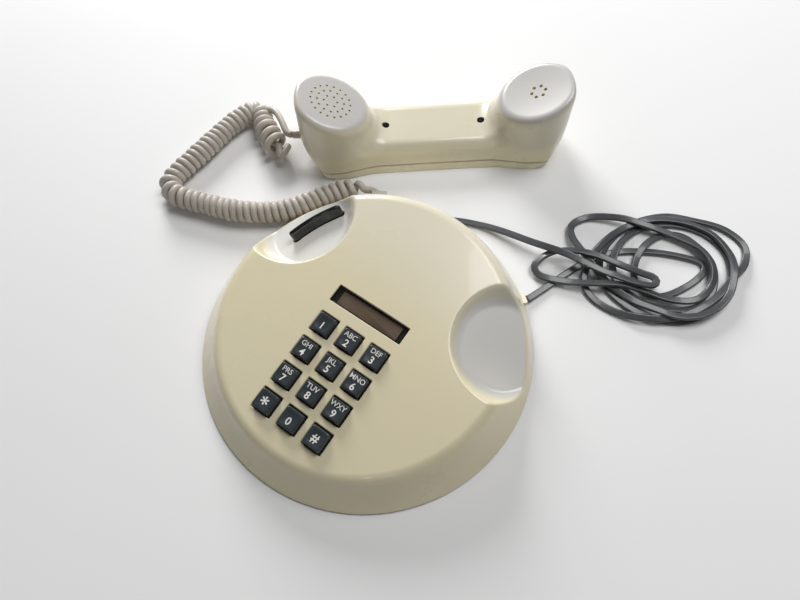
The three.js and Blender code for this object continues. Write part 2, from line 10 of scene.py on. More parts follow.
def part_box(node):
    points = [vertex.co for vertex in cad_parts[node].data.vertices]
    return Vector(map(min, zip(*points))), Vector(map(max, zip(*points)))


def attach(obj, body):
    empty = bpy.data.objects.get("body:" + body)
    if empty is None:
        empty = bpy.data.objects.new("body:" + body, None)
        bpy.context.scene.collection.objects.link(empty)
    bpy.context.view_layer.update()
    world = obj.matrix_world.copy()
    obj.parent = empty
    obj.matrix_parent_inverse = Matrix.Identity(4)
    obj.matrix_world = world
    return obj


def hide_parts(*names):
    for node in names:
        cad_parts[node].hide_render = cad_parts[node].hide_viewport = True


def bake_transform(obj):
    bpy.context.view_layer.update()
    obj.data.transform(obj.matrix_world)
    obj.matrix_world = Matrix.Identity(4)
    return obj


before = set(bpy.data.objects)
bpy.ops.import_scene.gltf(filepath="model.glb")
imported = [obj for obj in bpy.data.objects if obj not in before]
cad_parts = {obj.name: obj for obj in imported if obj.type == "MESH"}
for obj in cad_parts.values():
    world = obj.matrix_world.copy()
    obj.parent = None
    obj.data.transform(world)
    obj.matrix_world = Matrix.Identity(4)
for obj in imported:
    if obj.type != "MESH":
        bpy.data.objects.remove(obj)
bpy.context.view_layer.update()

# Lengths below are in millimetres about the middle of the base, on the table, unless they say metres.
# to_row() turns them into metres in the row frame.

MM = 0.001
plate_low, plate_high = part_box("base_plate")
BASE_CENTRE = np.array([(plate_low.x + plate_high.x) / 2, (plate_low.y + plate_high.y) / 2, 0.0])


def to_row(points):
    """Base millimetres to metres in the row frame."""
    return np.asarray(points, float) * MM + BASE_CENTRE


# ---------------------------------------------------------------- camera, light and floor

CAMERA_PLACE = (102.5, -104.1, 360.1)
CAMERA_AZIMUTH = 36.032
CAMERA_ELEVATION = 64.175
CAMERA_ROLL = -1.060
CAMERA_LENS = 26.0
SENSOR_WIDTH = 36.0
WORLD_LIGHT = 0.10
FLOOR_HALF = 3.0  # metres


def make_camera():
    """Looks down at the base from its front right."""
    data = bpy.data.cameras.new("camera")
    data.lens = CAMERA_LENS
    data.sensor_width = SENSOR_WIDTH
    camera = bpy.data.objects.new("camera", data)
    bpy.context.collection.objects.link(camera)
    turn = Matrix.Rotation(math.radians(CAMERA_AZIMUTH), 4, "Z")
    tip = Matrix.Rotation(math.radians(90 - CAMERA_ELEVATION), 4, "X")
    roll = Matrix.Rotation(math.radians(CAMERA_ROLL), 4, "Z")
    camera.matrix_world = Matrix.Translation(to_row(CAMERA_PLACE)) @ turn @ tip @ roll
    bpy.context.scene.camera = camera


def area_light(name, place, aim, size, power):
    """A soft white disc of light; its place, aim and size are in metres."""
    data = bpy.data.lights.new(name, "AREA")
    data.shape = "DISK"
    data.size = size
    data.energy = power
    lamp = bpy.data.objects.new(name, data)
    lamp.location = place
    lamp.rotation_euler = (Vector(aim) - Vector(place)).to_track_quat("-Z", "Y").to_euler()
    bpy.context.collection.objects.link(lamp)


def make_studio():
    """Soft light from behind, two small lights for glints in front, and a plain white floor."""
    world = bpy.data.worlds.new("studio")
    world.use_nodes = True
    sky = world.node_tree.nodes["Background"]
    sky.inputs["Color"].default_value = (1.0, 1.0, 1.0, 1)
    sky.inputs["Strength"].default_value = WORLD_LIGHT
    bpy.context.scene.world = world
    area_light("key_light", (-1.2, 0.98, 0.66), (0, 0, 0), 0.7, 24)
    area_light("overhead", (0.22, 0.76, 1.5), (0, 0, 0), 1.0, 15)
    area_light("glint_left", (0.37, -0.86, 0.92), (0.05, -0.15, 0.02), 0.06, 0.4)
    area_light("glint_right", (0.56, -0.80, 0.92), (0.05, -0.15, 0.02), 0.05, 0.25)
    bpy.context.scene.view_settings.view_transform = "Standard"
    floor_mesh = bpy.data.meshes.new("floor")
    corners = [(x * FLOOR_HALF, y * FLOOR_HALF, 0) for x, y in ((-1, -1), (1, -1), (1, 1), (-1, 1))]
    floor_mesh.from_pydata(corners, [], [(0, 1, 2, 3)])
    floor = bpy.data.objects.new("floor", floor_mesh)
    bpy.context.collection.objects.link(floor)
    white = surface("floor_white", (0.93, 0.93, 0.93), (0.91, 0.91, 0.91), 0.7, patch=3)
    floor_mesh.materials.append(white)


# ---------------------------------------------------------------- materials


def surface(name, tone, other, rough, patch=30, grain=700, bump=0.02, metal=0.0, coat=0.0, alpha=1.0,
            attribute=None, attribute_tone=None, dirt_and_shade=None, dirt_and_shade_amount=0.0, rough_swing=0.08,
            bump_distance=0.0002, winding=None):
    """A node material: two tones in patches, grime in specks, a mix in hollows by ambient occlusion
    (painted shade where darker, dust on dark finishes), roughness swing and fine bump.
    """
    mat = bpy.data.materials.new(name)
    mat.use_nodes = True
    nodes, links = mat.node_tree.nodes, mat.node_tree.links
    shader = nodes["Principled BSDF"]
    coords = nodes.new("ShaderNodeTexCoord")

    def noise(scale, detail=3.0, roughness=0.55):
        node = nodes.new("ShaderNodeTexNoise")
        node.inputs["Scale"].default_value = scale
        node.inputs["Detail"].default_value = detail
        node.inputs["Roughness"].default_value = roughness
        links.new(coords.outputs["Object"], node.inputs["Vector"])
        return node.outputs["Fac"]

    def ramp(source, low, high, to_low=0.0, to_high=1.0):
        node = nodes.new("ShaderNodeMapRange")
        node.inputs["From Min"].default_value = low
        node.inputs["From Max"].default_value = high
        node.inputs["To Min"].default_value = to_low
        node.inputs["To Max"].default_value = to_high
        links.new(source, node.inputs["Value"])
        return node.outputs["Result"]

    def mix(factor, first, second):
        node = nodes.new("ShaderNodeMix")
        node.data_type = "RGBA"
        links.new(factor, node.inputs[0])
        for socket, value in ((node.inputs[6], first), (node.inputs[7], second)):
            if isinstance(value, tuple):
                socket.default_value = (*value, 1)
            else:
                links.new(value, socket)
        return node.outputs[2]

    colour = mix(ramp(noise(patch), 0.35, 0.65), tone, other)
    if attribute:
        reader = nodes.new("ShaderNodeAttribute")
        reader.attribute_name = attribute
        colour = mix(reader.outputs["Fac"], colour, attribute_tone)
    if dirt_and_shade:
        specks = ramp(noise(patch * 6, 6.0, 0.7), 0.56, 0.72, 0.0, dirt_and_shade_amount)
        colour = mix(specks, colour, dirt_and_shade)
        # Painted shade: the grime colour is mixed in where ambient occlusion finds hollows and creases; on
        # dark finishes, where that colour is lighter, it is dust.
        hollow = nodes.new("ShaderNodeAmbientOcclusion")
        hollow.samples = 4
        hollow.inputs["Distance"].default_value = 0.004
        colour = mix(ramp(hollow.outputs["AO"], 0.35, 0.9, dirt_and_shade_amount, 0.0), colour, dirt_and_shade)
    links.new(colour, shader.inputs["Base Color"])
    gloss = ramp(noise(patch * 2.3, 4.0), 0.3, 0.7, rough - rough_swing / 2, rough + rough_swing / 2)
    links.new(gloss, shader.inputs["Roughness"])
    relief = nodes.new("ShaderNodeBump")
    relief.inputs["Strength"].default_value = bump
    relief.inputs["Distance"].default_value = bump_distance
    if winding:
        bands = nodes.new("ShaderNodeTexWave")
        bands.inputs["Scale"].default_value = winding
        bands.inputs["Distortion"].default_value = 0.3
        links.new(coords.outputs["Object"], bands.inputs["Vector"])
        links.new(bands.outputs["Fac"], relief.inputs["Height"])
    else:
        links.new(noise(grain, 2.0), relief.inputs["Height"])
    links.new(relief.outputs["Normal"], shader.inputs["Normal"])
    shader.inputs["Metallic"].default_value = metal
    shader.inputs["Coat Weight"].default_value = coat
    shader.inputs["Coat Roughness"].default_value = 0.05
    shader.inputs["Alpha"].default_value = alpha
    return mat


# Dark grime of the ivory plastics, used for dirt specks and for painted shade in hollows.
GRIME_AND_SHADE = (0.16, 0.12, 0.075)

MATERIALS = {
    # The ivory mixes towards a pale grey by a point attribute: unyellowed bay floors, and a painted sheen
    # on the rear of the top.
    "ivory_housing": surface(
        "ivory_housing", (0.83, 0.755, 0.53), (0.81, 0.73, 0.505), 0.29, patch=7, grain=420, bump=0.03,
        coat=0.3, attribute="unyellowed_and_sheen", attribute_tone=(0.78, 0.77, 0.74), dirt_and_shade=GRIME_AND_SHADE, dirt_and_shade_amount=0.03),
    "ivory_handset": surface(
        "ivory_handset", (0.82, 0.755, 0.54), (0.80, 0.735, 0.52), 0.29, patch=11, grain=420, bump=0.03,
        coat=0.3, attribute="unyellowed_and_sheen", attribute_tone=(0.60, 0.585, 0.56), dirt_and_shade=GRIME_AND_SHADE, dirt_and_shade_amount=0.03),
    "key_slate": surface(
        "key_slate", (0.030, 0.039, 0.045), (0.040, 0.051, 0.058), 0.30, patch=80, grain=1500, bump=0.06,
        dirt_and_shade=(0.12, 0.12, 0.11), dirt_and_shade_amount=0.10),
    "legend_white": surface(
        "legend_white", (0.86, 0.85, 0.80), (0.76, 0.75, 0.70), 0.45, patch=260, grain=2500, bump=0.05,
        dirt_and_shade=(0.25, 0.24, 0.22), dirt_and_shade_amount=0.3),
    "black_gloss": surface(
        "black_gloss", (0.006, 0.007, 0.009), (0.010, 0.011, 0.013), 0.10, patch=60, grain=900, bump=0.04,
        coat=0.5, dirt_and_shade=(0.10, 0.095, 0.085), dirt_and_shade_amount=0.08),
    "dark_plate": surface(
        "dark_plate", (0.055, 0.052, 0.050), (0.040, 0.038, 0.037), 0.62, patch=40, grain=1600, bump=0.35,
        dirt_and_shade=(0.20, 0.18, 0.15), dirt_and_shade_amount=0.25),
    "black_rubber": surface(
        "black_rubber", (0.028, 0.027, 0.026), (0.045, 0.043, 0.040), 0.8, patch=150, grain=2200, bump=0.4,
        dirt_and_shade=(0.22, 0.20, 0.17), dirt_and_shade_amount=0.35),
    "steel": surface(
        "steel", (0.56, 0.56, 0.57), (0.44, 0.44, 0.45), 0.36, patch=220, grain=2600, bump=0.15, metal=1.0,
        dirt_and_shade=(0.20, 0.15, 0.10), dirt_and_shade_amount=0.3),
    "brass": surface(
        "brass", (0.66, 0.50, 0.22), (0.50, 0.37, 0.16), 0.34, patch=90, grain=1800, bump=0.12, metal=1.0,
        dirt_and_shade=(0.16, 0.11, 0.05), dirt_and_shade_amount=0.35),
    "copper_winding": surface(
        "copper_winding", (0.42, 0.17, 0.08), (0.33, 0.12, 0.055), 0.38, patch=120, bump=0.8, metal=0.4,
        winding=900, bump_distance=0.0004),
    "circuit_board": surface(
        "circuit_board", (0.36, 0.22, 0.10), (0.29, 0.17, 0.075), 0.5, patch=160, grain=1400, bump=0.2,
        dirt_and_shade=(0.10, 0.07, 0.04), dirt_and_shade_amount=0.3),
    "card": surface(
        "card", (0.30, 0.20, 0.115), (0.24, 0.16, 0.09), 0.75, patch=110, grain=2400, bump=0.3,
        dirt_and_shade=(0.05, 0.035, 0.025), dirt_and_shade_amount=0.5),
    "clear_lens": surface(
        "clear_lens", (0.10, 0.09, 0.08), (0.07, 0.065, 0.06), 0.08, patch=90, grain=1500, bump=0.03,
        coat=0.3, alpha=0.07),
    "beige_cord": surface(
        "beige_cord", (0.52, 0.475, 0.42), (0.58, 0.535, 0.48), 0.48, patch=60, grain=1500, bump=0.12,
        coat=0.08, dirt_and_shade=(0.30, 0.235, 0.17), dirt_and_shade_amount=0.22),
    "grey_cord": surface(
        "grey_cord", (0.082, 0.086, 0.092), (0.064, 0.067, 0.072), 0.33, patch=70, grain=1500, bump=0.08,
        coat=0.3, dirt_and_shade=(0.24, 0.23, 0.21), dirt_and_shade_amount=0.14),
    "clear_plug": surface(
        "clear_plug", (0.62, 0.60, 0.55), (0.52, 0.50, 0.45), 0.16, patch=120, grain=1500, bump=0.05,
        coat=0.5, alpha=0.55),
}

# ---------------------------------------------------------------- mesh helpers


def add_mesh(name, points, faces, material, body, smooth=True, attribute=None):
    """Adds a mesh of points in row metres, with one slot, and lets it ride on a body."""
    mesh = bpy.data.meshes.new(name)
    mesh.from_pydata(np.asarray(points).tolist(), [], [tuple(face) for face in faces])
    mesh.update()
    if attribute is not None:
        layer = mesh.attributes.new("unyellowed_and_sheen", "FLOAT", "POINT")
        layer.data.foreach_set("value", np.asarray(attribute, np.float32))
    obj = bpy.data.objects.new(name, mesh)
    bpy.context.collection.objects.link(obj)
    mesh.materials.append(MATERIALS[material])
    if smooth:
        mesh.polygons.foreach_set("use_smooth", [True] * len(mesh.polygons))
    if body:
        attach(obj, body)
    return obj


def sharpen(obj, degrees=35):
    """Marks the edges that bend more than this as sharp, so smooth shading stops at them."""
    bm = bmesh.new()
    bm.from_mesh(obj.data)
    limit = math.radians(degrees)
    for edge in bm.edges:
        if len(edge.link_faces) == 2 and edge.calc_face_angle(0) > limit:
            edge.smooth = False
    bm.to_mesh(obj.data)
    bm.free()


def unit(vectors):
    return vectors / np.linalg.norm(vectors, axis=-1, keepdims=True)


def smooth_max(a, b, k):
    h = np.clip(0.5 + 0.5 * (a - b) / k, 0, 1)
    return b + (a - b) * h + k * h * (1 - h)


def smooth_min(a, b, k):
    return -smooth_max(-a, -b, k)


def spline(points, step):
    """A smooth curve through rows of numbers, with equal steps along its first three columns."""
    rows = np.asarray(points, float)
    padded = np.vstack([2 * rows[0] - rows[1], rows, 2 * rows[-1] - rows[-2]])
    fine = []
    for i in range(1, len(padded) - 2):
        p0, p1, p2, p3 = padded[i - 1:i + 3]
        t = np.linspace(0, 1, 40, endpoint=False)[:, None]
        fine.append(0.5 * (2 * p1 + (p2 - p0) * t + (2 * p0 - 5 * p1 + 4 * p2 - p3) * t ** 2
                           + (3 * p1 - p0 - 3 * p2 + p3) * t ** 3))
    curve = np.vstack(fine + [padded[-2][None]])
    along = np.concatenate([[0], np.cumsum(np.linalg.norm(np.diff(curve[:, :3], axis=0), axis=1))])
    count = max(2, int(round(along[-1] / step)) + 1)
    even = np.linspace(0, along[-1], count)
    return np.stack([np.interp(even, along, curve[:, c]) for c in range(rows.shape[1])], axis=1)


def steady_frames(path):
    """Two cross directions along a path that turn as little as they can."""
    tangent = unit(np.gradient(path, axis=0))
    side = np.empty_like(tangent)
    side[0] = unit(np.cross(tangent[0], (0.1, 0.2, 1.0)))
    for i in range(1, len(path)):
        side[i] = unit(side[i - 1] - tangent[i] * (side[i - 1] @ tangent[i]))
    return side, np.cross(tangent, side)


def rings_to_faces(ring_count, size, capped=True):
    rows = np.arange(ring_count - 1)[:, None] * size
    a = np.arange(size)[None, :]
    b = (a + 1) % size
    quads = np.stack([rows + a, rows + b, rows + size + b, rows + size + a], axis=-1).reshape(-1, 4)
    faces = quads.tolist()
    if capped:
        faces.append(list(range(size))[::-1])
        faces.append([(ring_count - 1) * size + i for i in range(size)])
    return faces


def sweep(path, side, up, section):
    """Ring points of a section carried along a path."""
    across = section[:, 0][None, :, None] * side[:, None, :]
    above = section[:, 1][None, :, None] * up[:, None, :]
    return (path[:, None, :] + across + above).reshape(-1, 3)


def circle(radius, sides):
    angle = np.arange(sides) * 2 * math.pi / sides
    return np.stack([radius * np.cos(angle), radius * np.sin(angle)], axis=1)


def rounded_rectangle(width, height, radius, per_corner=4):
    points = []
    for i, (sx, sy) in enumerate(((1, 1), (-1, 1), (-1, -1), (1, -1))):
        for j in range(per_corner + 1):
            angle = math.radians(90 * i + 90 * j / per_corner)
            points.append((sx * (width / 2 - radius) + radius * math.cos(angle),
                           sy * (height / 2 - radius) + radius * math.sin(angle)))
    return np.array(points)


# ---------------------------------------------------------------- coiled handset cord

WIRE = 4.9
WIRE_SIDES = 12
SHEATH_SWELL = 0.15
HANDSET_PLACE = np.array([-60.0, 166.8, 0.0])
HANDSET_YAW = math.radians(38.7)
CORD_BORE_HEIGHT = 16


def from_handset(points):
    """Handset-local millimetres to base millimetres."""
    points = np.asarray(points, float)
    c, s = math.cos(HANDSET_YAW), math.sin(HANDSET_YAW)
    turned = np.stack([points[..., 0] * c - points[..., 1] * s,
                       points[..., 0] * s + points[..., 1] * c, points[..., 2]], axis=-1)
    return turned + HANDSET_PLACE


def polar(radius, degrees, z):
    angle = math.radians(degrees)
    return (radius * math.cos(angle), radius * math.sin(angle), z)


def wind(route, start_angle):
    """Winds a wire around a route whose columns are x, y, z, winding radius and pitch."""
    step = 0.35
    axis = spline(route, step)
    centre, radius, pitch = axis[:, :3], axis[:, 3], axis[:, 4]
    tangent = unit(np.gradient(centre, axis=0))
    side = unit(np.cross(np.array([0, 0, 1.0])[None, :], tangent))
    up = np.cross(tangent, side)
    angle = start_angle + np.concatenate([[0], np.cumsum(step * 2 * math.pi / pitch[1:])])
    wobble = 1 + 0.035 * np.sin(angle * 0.37) + 0.03 * np.sin(angle * 0.113 + 1)
    wire = centre + (radius * wobble)[:, None] * (
        np.cos(angle)[:, None] * side + np.sin(angle)[:, None] * up)
    return resample(wire, 2 * math.pi * 6 / 16)


def resample(path, step):
    """The same path in equal steps."""
    along = np.concatenate([[0], np.cumsum(np.linalg.norm(np.diff(path, axis=0), axis=1))])
    even = np.linspace(0, along[-1], int(along[-1] / step) + 1)
    return np.stack([np.interp(even, along, path[:, c]) for c in range(3)], axis=1)


def handset_cord():
    """The coiled cord, from the handset's end gland, round its loose turns, to the gland in the base."""
    end_gland = from_handset([-108.5, 0, CORD_BORE_HEIGHT])
    beyond_gland = from_handset([-111.5, 0, CORD_BORE_HEIGHT])
    strand = spline([
        end_gland, beyond_gland, (-151.5, 99.0, 16.2), (-161, 105.0, 16.8), (-171, 109.5, 16.0),
        (-180, 109.0, 13.0), (-182.5, 103.5, 9.6), (-176, 98.8, 8.8), (-166, 93.6, 8.6),
        (-156, 88.4, 8.6)], 1.5)
    winding = [
        (-151, 86.0, 8.6, 0.4, 11), (-146.5, 84.4, 9.2, 6.4, 9.5), (-150.5, 86.2, 10.4, 7.6, 9),
        (-158, 89.4, 10.4, 7.6, 8.6), (-166, 93.2, 10.2, 7.5, 8.2), (-174, 98.0, 9.6, 6.9, 6.6),
        (-181.5, 104.0, 9.0, 6.3, 5.2), (-188, 106.0, 8.7, 6.1, 5.0), (-193, 100, 8.6, 6.05, 5.0),
        (-196, 86, 8.6, 6.05, 5.0), (-197, 70, 8.6, 6.05, 4.95), (-196.8, 54, 8.6, 6.05, 5.0),
        (-197, 38, 8.6, 6.05, 5.2), (-197.4, 24, 8.6, 6.05, 5.8), (-194.5, 14, 8.6, 6.05, 6.8),
        (-186, 9.6, 8.6, 6.05, 6.8), (-174, 11.6, 8.6, 6.05, 5.8), (-160, 16.4, 8.6, 6.05, 5.0),
        (-146, 21.0, 8.6, 6.05, 4.95), (-133, 27, 8.6, 6.05, 5.0), (-121, 34.5, 8.6, 6.05, 5.0),
        (-110, 43.5, 8.6, 6.05, 5.0), (-101.5, 55, 8.7, 6.05, 5.0), (-95.7, 65, 9.0, 6.05, 5.1),
        (-90.2, 74.4, 9.2, 6.0, 5.3), (-84.2, 82.9, 9.4, 5.8, 5.8), (-77.8, 90.4, 9.0, 4.4, 8),
        (-71.2, 95.9, 7.4, 1.2, 12), polar(116.8, 123.8, 6.3) + (0.0, 12),
        polar(115, HANDSET_GLAND["azimuth"], 6.2) + (0.0, 12)]
    coil = wind(winding, -0.6)
    join = spline(np.vstack([strand[-6::5], coil[2:8:3]]), 1.5)
    wire = np.vstack([strand[:-5], join[3:-3], coil[8:]])
    wire = resample(wire, 2.2)
    for _ in range(2):
        wire[1:-1] = (wire[:-2] + 2 * wire[1:-1] + wire[2:]) / 4
    wire[:, 2] = np.maximum(wire[:, 2], WIRE / 2 + 0.2)
    side, up = steady_frames(wire)
    points = to_row(sweep(wire, side, up, circle(WIRE / 2 + SHEATH_SWELL, WIRE_SIDES)))
    faces = rings_to_faces(len(wire), WIRE_SIDES)
    cord = add_mesh("handset_cord_coiled", points, faces, "beige_cord", None)
    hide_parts("handset_cord", "handset_cord_base_tail", "handset_cord_end_tail")
    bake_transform(cord)


# ---------------------------------------------------------------- flat line cord

LINE_WIDTH = 5.0
LINE_THICK = 2.6
LINE_LIFT = LINE_THICK / 2 + 0.1


def stack_up(path):
    """Lifts a flat cord where it passes over an earlier part of itself, in long low humps."""
    along = np.concatenate([[0], np.cumsum(np.linalg.norm(np.diff(path[:, :2], axis=0), axis=1))])
    height = np.full(len(path), LINE_LIFT)
    for _ in range(3):
        for k in range(len(path)):
            near = np.hypot(*(path[:k, :2] - path[k, :2]).T) < 5.6
            near &= along[:k] < along[k] - 25
            if near.any():
                height[k] = max(height[k], height[:k][near].max() + 2.45)
        slope = np.abs(along[:, None] - along[None, :]) * 0.16
        height = np.maximum(height, (height[None, :] - slope).max(axis=1))
    height = np.minimum(height, 12.0)
    for _ in range(6):
        height[1:-1] = (height[:-2] + 2 * height[1:-1] + height[2:]) / 4
    share = np.clip(np.minimum(along - 12, along[-1] - along - 14) / 20, 0, 1)
    lifted = path.copy()
    lifted[:, 2] = path[:, 2] * (1 - share) + height * share
    return lifted


# The laid cord seen from above: out to the heap, its turns, and back behind the base.
HEAP = [
    (75.6, 95.5), (78, 102), (80.7, 109.6), (84, 118.5), (89, 131), (95, 143), (103, 153),
    (113, 162), (131, 173), (148, 180), (159, 182), (163, 176), (159, 161), (149, 144), (138, 137),
    (126, 143), (120, 156), (120, 172), (126, 187), (138, 195), (152, 193), (165, 184), (173, 169),
    (173, 154), (164, 141), (150, 133), (133, 130), (117, 134), (107, 146), (105, 164), (111, 183),
    (127, 199), (147, 206), (166, 202), (178, 188), (182, 170), (178, 150), (167, 133), (150, 123),
    (130, 121), (110, 127), (99, 142), (98, 164), (105, 185), (121, 204), (141, 213), (161, 218),
    (178, 213), (184, 198), (181, 180), (178, 162), (170, 143), (157, 127), (139, 116), (121, 112),
    (106, 114), (97, 122), (93, 137), (95, 157), (102, 177), (116, 195), (135, 205), (156, 207),
    (173, 197), (181, 180), (183, 161), (176, 143), (162, 131), (144, 127), (126, 126), (107, 129),
    (89, 137), (74, 147), (69, 158), (76, 171), (93, 180), (112, 185), (133, 190), (152, 190),
    (166, 180), (171, 165), (166, 150), (152, 141), (136, 137), (120, 131), (104, 121), (86, 112),
    (71, 107), (63.5, 110.5), (65, 120), (71, 128.5), (82, 135), (97, 140), (113, 144), (128, 148),
    (135.5, 149.5), (139, 146), (136, 141), (125, 136), (111, 132.5)]
AWAY = [
    (97, 130.2), (83, 128.7), (71, 127.2), (61, 125.8), (51, 124.6), (40, 123.8), (29.5, 122.8),
    (19, 121.2), (9.5, 118.5), (2, 115.5), (-4.5, 112.2)]


def line_route():
    """From the base, through the loose heap of turns, to the plug behind the base."""
    leave = [polar(111.3, LINE_GLAND["azimuth"], 2.6), polar(113.8, LINE_GLAND["azimuth"], 2.2)]
    laid = [(x, y, LINE_LIFT + 0.2) for x, y in HEAP + AWAY]
    return leave + laid + [(-9.6, 109.2, 2.1), (-12.6, 107, 2.8), (-14.9, 104.95, 3.2)]


def flat_section(width, height, radius):
    """A rounded rectangle with points close beside its corners, so its flats shade flat."""
    corners = rounded_rectangle(width, height, radius, 3).reshape(4, 4, 2)
    ring = []
    for i in range(4):
        ring.extend(corners[i])
        start, end = corners[i][-1], corners[(i + 1) % 4][0]
        near = min(0.2, 0.3 * np.linalg.norm(end - start))
        step = unit(end - start) * near
        ring.extend([start + step, end - step])
    return np.array(ring)


def line_cord():
    """The flat cord with its slight twists, up to the plug on its end."""
    path = stack_up(spline(line_route(), 2.5))
    tangent = unit(np.gradient(path, axis=0))
    flat = unit(np.cross(np.array([0, 0, 1.0])[None, :], tangent))
    place = np.arange(len(path)) / len(path)
    roll = 0.35 * np.sin(place * 71) * np.clip(np.minimum(place, 1 - place) * 20, 0, 1)
    up = np.cross(tangent, flat)
    side = flat * np.cos(roll)[:, None] + up * np.sin(roll)[:, None]
    up = np.cross(tangent, side)
    section = flat_section(LINE_WIDTH, LINE_THICK - 0.3, 0.85)
    points = to_row(sweep(path, side, up, section))
    points[:, 2] = np.maximum(points[:, 2], 0.0001)
    cord = add_mesh("line_cord_flat", points, rings_to_faces(len(path), len(section)), "grey_cord", "base")
    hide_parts("line_cord", "line_cord_coil", "line_cord_free_end")


# ---------------------------------------------------------------- base housing

FACE_HEIGHT = 32.8
FACE_TILT = math.radians(6.5)
BASE_RADIUS = 110.5
RIM_ROUND = 9.0
ROUND_CENTRE = (87.5, 23.8)
RIM_SHIFT = 3.5
TANGENT_DEGREES = 28.2
TANGENT_HEIGHT = 28.05
DOME = 2.2
SHELL_FLOOR = 1.5
WALL = 2.5
BAY_TILT = math.radians(17)
BAY_X = 75.4
BAY_Y = 38.4
BAY_DEPTH = 18


def face_to_base(points):
    points = np.asarray(points, float)
    c, s = math.cos(FACE_TILT), math.sin(FACE_TILT)
    x, y, z = points[..., 0], points[..., 1], points[..., 2]
    return np.stack([x, y * c - z * s, FACE_HEIGHT + y * s + z * c], axis=-1)


def base_to_face(points):
    x, y, z = points[..., 0], points[..., 1], points[..., 2] - FACE_HEIGHT
    c, s = math.cos(FACE_TILT), math.sin(FACE_TILT)
    return np.stack([x, y * c + z * s, -y * s + z * c], axis=-1)


def lean_back(points):
    """Leans the top back with the face; the side wall follows in proportion to its height."""
    share = np.clip((points[..., 2] - SHELL_FLOOR) / (TANGENT_HEIGHT - SHELL_FLOOR), 0, 1)[..., None]
    over = points.copy()
    over[..., 2] -= FACE_HEIGHT
    leaned = face_to_base(over)
    leaned[..., 1] -= RIM_SHIFT
    return points * (1 - share) + leaned * share


def dome_height(r):
    """Crown of the face over its plane, at a distance from the middle."""
    share = np.clip(r / ROUND_CENTRE[0], 0, 1)
    return DOME * (1 - share ** 2)


def housing_profile(inset):
    """Radius and height of the upright housing from its middle out and down to its lower edge."""
    round_radius = RIM_ROUND - inset
    dome = [(r, ROUND_CENTRE[1] + round_radius + (dome_height(r) if not inset else 0))
            for r in np.linspace(0, ROUND_CENTRE[0], 104)[1:]]
    arc = [(ROUND_CENTRE[0] + round_radius * math.cos(a), ROUND_CENTRE[1] + round_radius * math.sin(a))
           for a in np.radians(np.linspace(90, TANGENT_DEGREES, 18)[1:])]
    foot = BASE_RADIUS - SHELL_FLOOR * math.tan(math.radians(TANGENT_DEGREES)) - inset * 1.15
    start = arc[-1]
    wall = [(start[0] + (foot - start[0]) * t, start[1] + (SHELL_FLOOR - start[1]) * t)
            for t in np.linspace(0, 1, 40)[1:]]
    return np.array(dome + arc + wall)


def bay_height(x, y, grow):
    """Height over the face plane of a bay's wall and floor; grow moves it outwards into the housing."""
    lean = np.array([0.15, 0.0778])
    slope = 8.5 / 18
    rim = 38.2 + grow * 1.1
    dx, dy = np.abs(x) - 84.6, y - BAY_Y
    a = lean @ lean - slope ** 2
    b = -2 * (dx * lean[0] + dy * lean[1] + rim * slope)
    c = dx ** 2 + dy ** 2 - rim ** 2
    wall = (-b - np.sqrt(np.maximum(b ** 2 - 4 * a * c, 0))) / (2 * a)
    wall = np.where(np.hypot(dx, dy) > 1.8 * rim, 60.0, np.clip(wall, -70, 60))
    floor = -BAY_DEPTH - grow - (np.abs(x) - BAY_X) * math.tan(BAY_TILT)
    return smooth_max(wall, floor, 7.0), wall - floor


def housing_skin(inset, azimuths):
    """Points of the housing's outside, or of its inside at an inset, and how far each lies in a bay."""
    profile = housing_profile(inset)
    angle = np.arange(azimuths) * 2 * math.pi / azimuths
    r, z = profile[:, 0][:, None], profile[:, 1][:, None]
    upright = np.stack([r * np.cos(angle), r * np.sin(angle), z + 0 * angle], axis=-1)
    on_face = base_to_face(lean_back(upright))
    bay, over_floor = bay_height(on_face[..., 0], on_face[..., 1], inset)
    height = smooth_min(on_face[..., 2], bay, 4.2)
    in_bay = np.clip((on_face[..., 2] - bay - 1) / 4, 0, 1) * np.clip(1.0 - over_floor / 11, 0, 1)
    on_face[..., 2] = height
    points = face_to_base(on_face)
    points[..., 2] = np.maximum(points[..., 2], SHELL_FLOOR)
    return points, in_bay


def boolean_cut(obj, cutters):
    """Subtracts closed meshes from a piece and drops the cutters."""
    for cutter in cutters:
        modifier = obj.modifiers.new("cut", "BOOLEAN")
        modifier.object = cutter
        modifier.operation = "DIFFERENCE"
        modifier.solver = "MANIFOLD"
    graph = bpy.context.evaluated_depsgraph_get()
    mesh = bpy.data.meshes.new_from_object(obj.evaluated_get(graph), depsgraph=graph)
    obj.modifiers.clear()
    obj.data = mesh
    for cutter in cutters:
        bpy.data.objects.remove(cutter)


def loose_mesh(name, points, faces):
    mesh = bpy.data.meshes.new(name)
    mesh.from_pydata(np.asarray(points).tolist(), [], [tuple(face) for face in faces])
    obj = bpy.data.objects.new(name, mesh)
    bpy.context.collection.objects.link(obj)
    return obj


def stacked(sections):
    """Points and faces of a closed body through same-sized rings of points."""
    size = len(sections[0])
    return np.vstack(sections), rings_to_faces(len(sections), size)


def face_normal_frame(x, y):
    """Origin and axes on the domed face over a point of its plane, in the face's own frame."""
    ahead = y + RIM_SHIFT
    slope = -2 * DOME / ROUND_CENTRE[0] ** 2
    origin = np.array([x, y, float(dome_height(math.hypot(x, ahead)))])
    normal = unit(np.array([-slope * x, -slope * ahead, 1.0]))
    across = unit(np.cross((0, 1, 0), normal))
    return origin, across, np.cross(normal, across), normal


